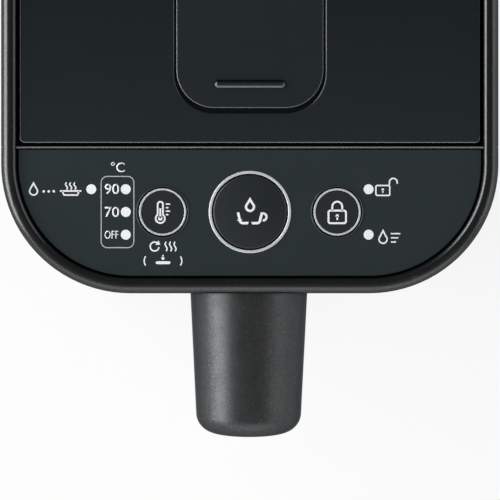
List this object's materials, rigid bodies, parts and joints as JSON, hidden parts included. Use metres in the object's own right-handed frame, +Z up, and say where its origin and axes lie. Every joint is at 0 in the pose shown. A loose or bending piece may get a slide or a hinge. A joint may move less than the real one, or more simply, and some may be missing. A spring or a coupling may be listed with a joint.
{
  "type": "electric thermo pot",
  "caption": "Electric thermo pot with a hinged latching lid, a front control panel with push buttons, a round dispensing spout, a level gauge and a bail handle.",
  "frame": {"origin": "middle of the overall footprint, on the table that the feet stand on", "axes": "+Z up, -Y towards the front, where the spout is, +X to the right seen from the front"},
  "size_m": [0.2074, 0.2875, 0.212],
  "materials": {
    "body_paint": "gunmetal metallic paint on moulded plastic",
    "dark_plastic": "fine-textured dark grey plastic",
    "lid_plastic": "satin blue-black plastic",
    "panel_plastic": "satin blue-black plastic, printed in white",
    "button_plastic": "satin blue-black plastic",
    "ring_chrome": "satin bright plating",
    "lamp_lens": "frosted white light pipe",
    "clear_plastic": "clear smoked window",
    "clear_glass": "clear tube",
    "vessel_steel": "brushed stainless steel",
    "heater_aluminium": "cast aluminium",
    "machined_steel": "plated steel",
    "motor_can": "plated motor can",
    "pivot_metal": "satin steel",
    "screw_steel": "zinc-plated steel",
    "contact_brass": "plated brass",
    "black_rubber": "black rubber",
    "seal_rubber": "grey silicone rubber",
    "insulation_felt": "glass-wool felt",
    "board_green": "green circuit board",
    "component_black": "black moulded components",
    "inner_plastic": "natural grey heat-proof plastic"
  },
  "bodies": {
    "pot": {"body_shell": "body_paint", "shoulder_ring": "body_paint", "spout_cover": "body_paint", "base_cover": "dark_plastic", "rear_cover": "lid_plastic", "handle_pivots": "pivot_metal", "control_panel": "panel_plastic", "dispense_ring": "ring_chrome", "lamp_lenses": "lamp_lens", "gauge_window": "clear_plastic", "level_tube": "clear_glass", "inner_pot": "vessel_steel", "strainer": "vessel_steel", "heater_plate": "heater_aluminium", "pump_motor": "motor_can", "hinge_pin": "machined_steel", "tie_rods": "machined_steel", "base_screws": "screw_steel", "board_screws": "screw_steel", "cover_screws": "screw_steel", "vessel_screws": "screw_steel", "socket_contacts": "contact_brass", "socket_magnets": "machined_steel", "rubber_feet": "black_rubber", "vessel_seal": "seal_rubber", "outlet_hose": "seal_rubber", "spout_pipe": "seal_rubber", "insulation_jacket": "insulation_felt", "control_board": "board_green", "power_board": "board_green", "board_components": "component_black", "tact_switches": "component_black", "temperature_sensor": "component_black", "pump_chamber": "inner_plastic", "motor_mount": "inner_plastic", "tip_over_valve": "inner_plastic", "spout_nozzle": "dark_plastic", "power_socket": "dark_plastic"},
    "lid": {"lid_cover": "lid_plastic", "lid_base": "inner_plastic", "inner_lid": "vessel_steel", "lid_gasket": "seal_rubber", "lid_screws": "screw_steel", "steam_vent": "lid_plastic", "lever_pin": "machined_steel", "hook_pin": "machined_steel", "lever_spring": "machined_steel"},
    "lever": {"lid_lever": "lid_plastic"},
    "hook": {"latch_hook": "dark_plastic"},
    "handle": {"carry_handle": "dark_plastic"},
    "dispense_key": {"dispense_button": "button_plastic"},
    "keep_warm_key": {"keep_warm_button": "button_plastic", "keep_warm_ring": "ring_chrome"},
    "unlock_key": {"unlock_button": "button_plastic", "unlock_ring": "ring_chrome"},
    "motor_rotor": {"motor_shaft": "machined_steel", "drive_magnet": "machined_steel"},
    "pump_rotor": {"impeller": "inner_plastic"},
    "tip_ball": {"valve_ball": "inner_plastic"}
  },
  "joints": [
    {"name": "lid_hinge", "type": "hinge", "parent": "pot", "child": "lid", "pos_m": [0, 0.11036, 0.2045], "axis": [-1, 0, 0], "range_deg": [0, 100]},
    {"name": "lever_hinge", "type": "hinge", "parent": "lid", "child": "lever", "pos_m": [0, 0.04326, 0.205], "axis": [-1, 0, 0], "range_deg": [0, 20], "stiffness_Nm_per_rad": 0.08, "springref_deg": -20.05},
    {"name": "hook_pivot", "type": "hinge", "parent": "lid", "child": "hook", "pos_m": [0, -0.02524, 0.205], "axis": [-1, 0, 0], "range_deg": [-19, 0]},
    {"name": "handle_hinge", "type": "hinge", "parent": "pot", "child": "handle", "pos_m": [0, 0.04186, 0.188], "axis": [1, 0, 0], "range_deg": [0, 105.7]},
    {"name": "dispense_press", "type": "slide", "parent": "pot", "child": "dispense_key", "axis": [0, 0, -1], "range_m": [0, 0.002], "stiffness_N_per_m": 500, "springref_m": -0.002},
    {"name": "keep_warm_press", "type": "slide", "parent": "pot", "child": "keep_warm_key", "axis": [0, 0, -1], "range_m": [0, 0.0012], "stiffness_N_per_m": 500, "springref_m": -0.0012},
    {"name": "unlock_press", "type": "slide", "parent": "pot", "child": "unlock_key", "axis": [0, 0, -1], "range_m": [0, 0.0012], "stiffness_N_per_m": 500, "springref_m": -0.0012},
    {"name": "motor_spin", "type": "hinge", "parent": "pot", "child": "motor_rotor", "pos_m": [0, 0.03836, 0.0285], "axis": [0, 0, 1], "continuous": true},
    {"name": "impeller_spin", "type": "hinge", "parent": "pot", "child": "pump_rotor", "pos_m": [0, 0.03836, 0.042], "axis": [0, 0, 1], "continuous": true},
    {"name": "ball_lift", "type": "slide", "parent": "pot", "child": "tip_ball", "axis": [0, 0, 1], "range_m": [0, 0.0183]}
  ],
  "couplings": [
    {"joint": "hook_pivot", "follows": "lever_hinge", "ratio": -0.94},
    {"joint": "impeller_spin", "follows": "motor_spin", "ratio": 1}
  ]
}
